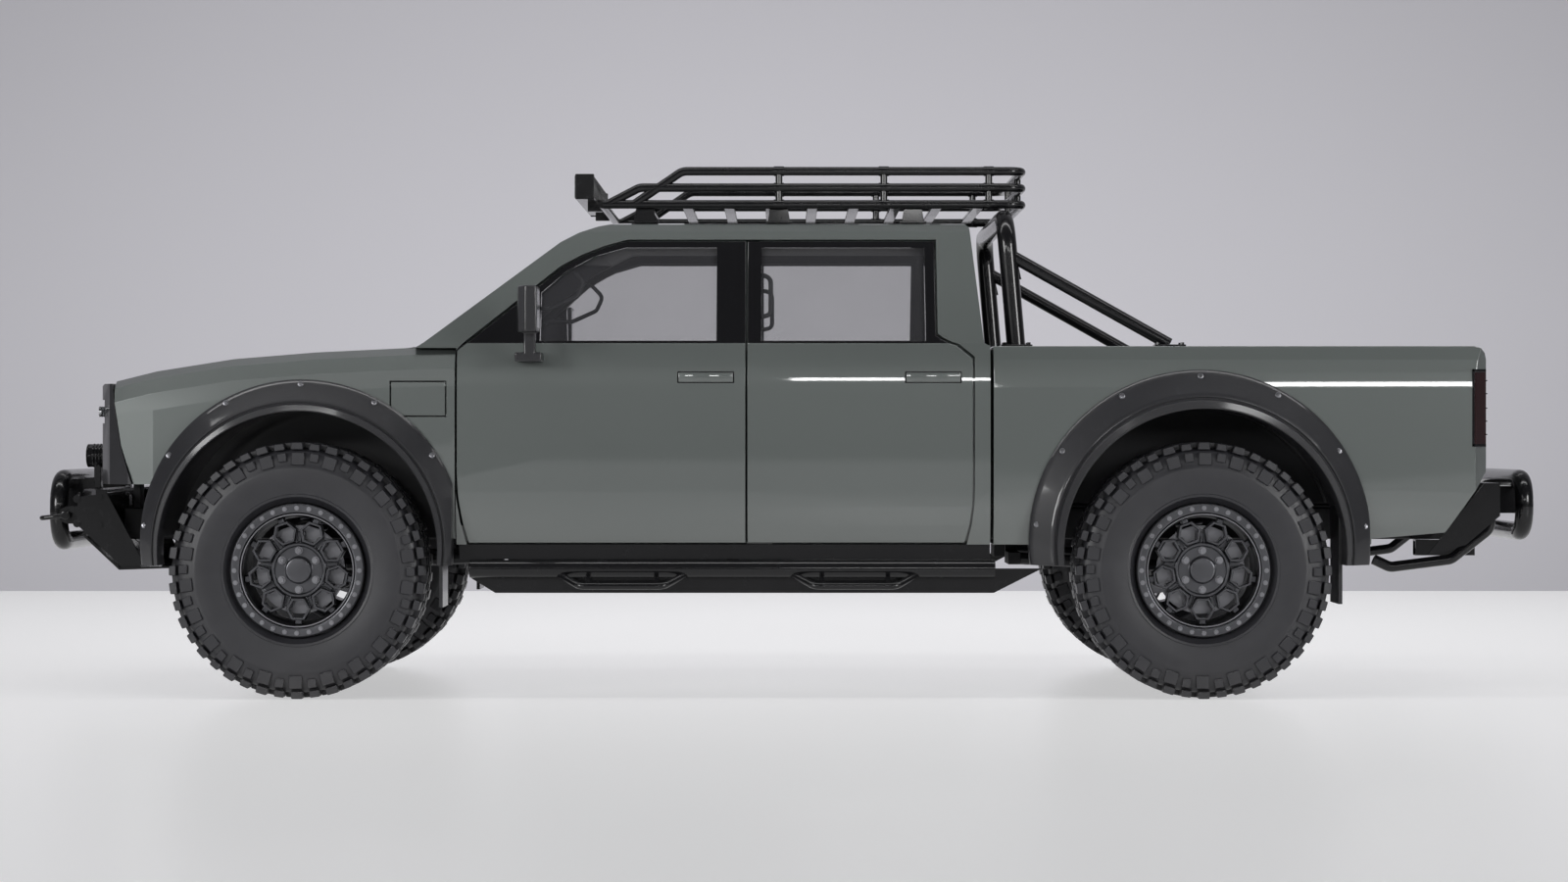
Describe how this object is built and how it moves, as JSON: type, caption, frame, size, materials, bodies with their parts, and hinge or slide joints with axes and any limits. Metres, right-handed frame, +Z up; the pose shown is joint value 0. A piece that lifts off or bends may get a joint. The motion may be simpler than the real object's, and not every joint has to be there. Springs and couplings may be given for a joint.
{
  "type": "lifted four-door off-road pickup",
  "caption": "Lifted crew-cab off-road pickup with lugged tyres, wide flares, roof basket, bed roll bar, winch bumper and rock sliders; doors, hood, tailgate and steering move.",
  "frame": {"origin": "middle of the box's bottom face, on the floor", "axes": "-X to the front, -Y to the vehicle's left, +Z up"},
  "size_m": [5.8967, 2.41, 2.045],
  "materials": {
    "body_paint": "satin sage grey clear coat",
    "black_steel": "satin black powder coat",
    "black_trim": "satin black moulded trim",
    "frame_steel": "chassis black",
    "wheel_metal": "gunmetal satin",
    "tyre_rubber": "dark tread rubber",
    "window_glass": "lightly tinted",
    "cabin_fabric": "dark woven cloth",
    "cabin_trim": "dark grain",
    "lamp_glass": "clear lens",
    "tail_glass": "dark red lens",
    "spring_steel": "springs and dampers",
    "bed_liner": "textured bed coating"
  },
  "bodies": {
    "chassis": {"frame_rails": "frame_steel", "frame_crossmembers": "frame_steel", "frame_towers": "frame_steel", "cab_floor": "cabin_trim", "battery_pack": "frame_steel", "front_axle": "frame_steel", "rear_axle": "frame_steel", "suspension_links": "frame_steel", "spring_dampers": "spring_steel", "cab_shell": "body_paint", "cab_glass": "window_glass", "dashboard": "cabin_trim", "front_seats": "cabin_fabric", "rear_seat": "cabin_fabric", "front_fenders": "body_paint", "front_fascia": "black_trim", "front_lamps": "lamp_glass", "front_bumper": "black_steel", "winch": "black_steel", "bed_sides": "body_paint", "bed_tub": "bed_liner", "tail_lamps": "tail_glass", "fender_flares": "black_trim", "arch_liners": "black_trim", "rock_sliders": "black_steel", "roof_rack": "black_steel", "light_bar": "black_steel", "roll_bar": "black_steel", "rear_bumper": "black_steel", "grab_handles": "cabin_trim"},
    "knuckle_left": {"knuckle_left": "frame_steel"},
    "knuckle_right": {"knuckle_right": "frame_steel"},
    "hood": {"hood": "body_paint"},
    "tailgate": {"tailgate": "body_paint"},
    "charge_flap": {"charge_flap": "body_paint"},
    "steering_wheel": {"steering_wheel": "cabin_trim"},
    "wheel_front_left": {"tyre_front_left": "tyre_rubber", "rim_front_left": "wheel_metal"},
    "wheel_rear_left": {"tyre_rear_left": "tyre_rubber", "rim_rear_left": "wheel_metal"},
    "door_front_left": {"door_front_left": "body_paint", "glass_front_left": "window_glass", "mirror_left": "black_trim"},
    "door_rear_left": {"door_rear_left": "body_paint", "glass_rear_left": "window_glass"},
    "wheel_front_right": {"tyre_front_right": "tyre_rubber", "rim_front_right": "wheel_metal"},
    "wheel_rear_right": {"tyre_rear_right": "tyre_rubber", "rim_rear_right": "wheel_metal"},
    "door_front_right": {"door_front_right": "body_paint", "glass_front_right": "window_glass", "mirror_right": "black_trim"},
    "door_rear_right": {"door_rear_right": "body_paint", "glass_rear_right": "window_glass"}
  },
  "joints": [
    {"name": "steer_left", "type": "hinge", "parent": "chassis", "child": "knuckle_left", "pos_m": [-1.842, -0.865, 0.487], "axis": [0, 0, 1], "range_deg": [-28, 28]},
    {"name": "wheel_front_left_roll", "type": "hinge", "parent": "knuckle_left", "child": "wheel_front_left", "pos_m": [-1.842, -0.865, 0.487], "axis": [0, 1, 0], "continuous": true},
    {"name": "wheel_rear_left_roll", "type": "hinge", "parent": "chassis", "child": "wheel_rear_left", "pos_m": [1.588, -0.865, 0.487], "axis": [0, 1, 0], "continuous": true},
    {"name": "door_front_left_hinge", "type": "hinge", "parent": "chassis", "child": "door_front_left", "pos_m": [-1.196, -0.954, 0.975], "axis": [0, 0, -1], "range_deg": [0, 68]},
    {"name": "door_rear_left_hinge", "type": "hinge", "parent": "chassis", "child": "door_rear_left", "pos_m": [-0.093, -0.954, 0.975], "axis": [0, 0, -1], "range_deg": [0, 68]},
    {"name": "steer_right", "type": "hinge", "parent": "chassis", "child": "knuckle_right", "pos_m": [-1.842, 0.865, 0.487], "axis": [0, 0, 1], "range_deg": [-28, 28]},
    {"name": "wheel_front_right_roll", "type": "hinge", "parent": "knuckle_right", "child": "wheel_front_right", "pos_m": [-1.842, 0.865, 0.487], "axis": [0, 1, 0], "continuous": true},
    {"name": "wheel_rear_right_roll", "type": "hinge", "parent": "chassis", "child": "wheel_rear_right", "pos_m": [1.588, 0.865, 0.487], "axis": [0, 1, 0], "continuous": true},
    {"name": "door_front_right_hinge", "type": "hinge", "parent": "chassis", "child": "door_front_right", "pos_m": [-1.196, 0.954, 0.975], "axis": [0, 0, 1], "range_deg": [0, 68]},
    {"name": "door_rear_right_hinge", "type": "hinge", "parent": "chassis", "child": "door_rear_right", "pos_m": [-0.093, 0.954, 0.975], "axis": [0, 0, 1], "range_deg": [0, 68]},
    {"name": "hood_hinge", "type": "hinge", "parent": "chassis", "child": "hood", "pos_m": [-1.438, 0, 1.33], "axis": [0, 1, 0], "range_deg": [0, 50]},
    {"name": "tailgate_hinge", "type": "hinge", "parent": "chassis", "child": "tailgate", "pos_m": [2.645, 0, 0.909], "axis": [0, 1, 0], "range_deg": [0, 90]},
    {"name": "charge_flap_hinge", "type": "hinge", "parent": "chassis", "child": "charge_flap", "pos_m": [-1.389, -0.965, 1.19], "axis": [-1, 0, 0], "range_deg": [0, 95]},
    {"name": "steering_wheel_turn", "type": "hinge", "parent": "chassis", "child": "steering_wheel", "pos_m": [-0.705, -0.38, 1.165], "axis": [-0.9135, 0, -0.4067], "range_deg": [-450, 450]}
  ],
  "couplings": [
    {"joint": "steer_right", "follows": "steer_left", "ratio": 1},
    {"joint": "steering_wheel_turn", "follows": "steer_left", "ratio": 16}
  ]
}
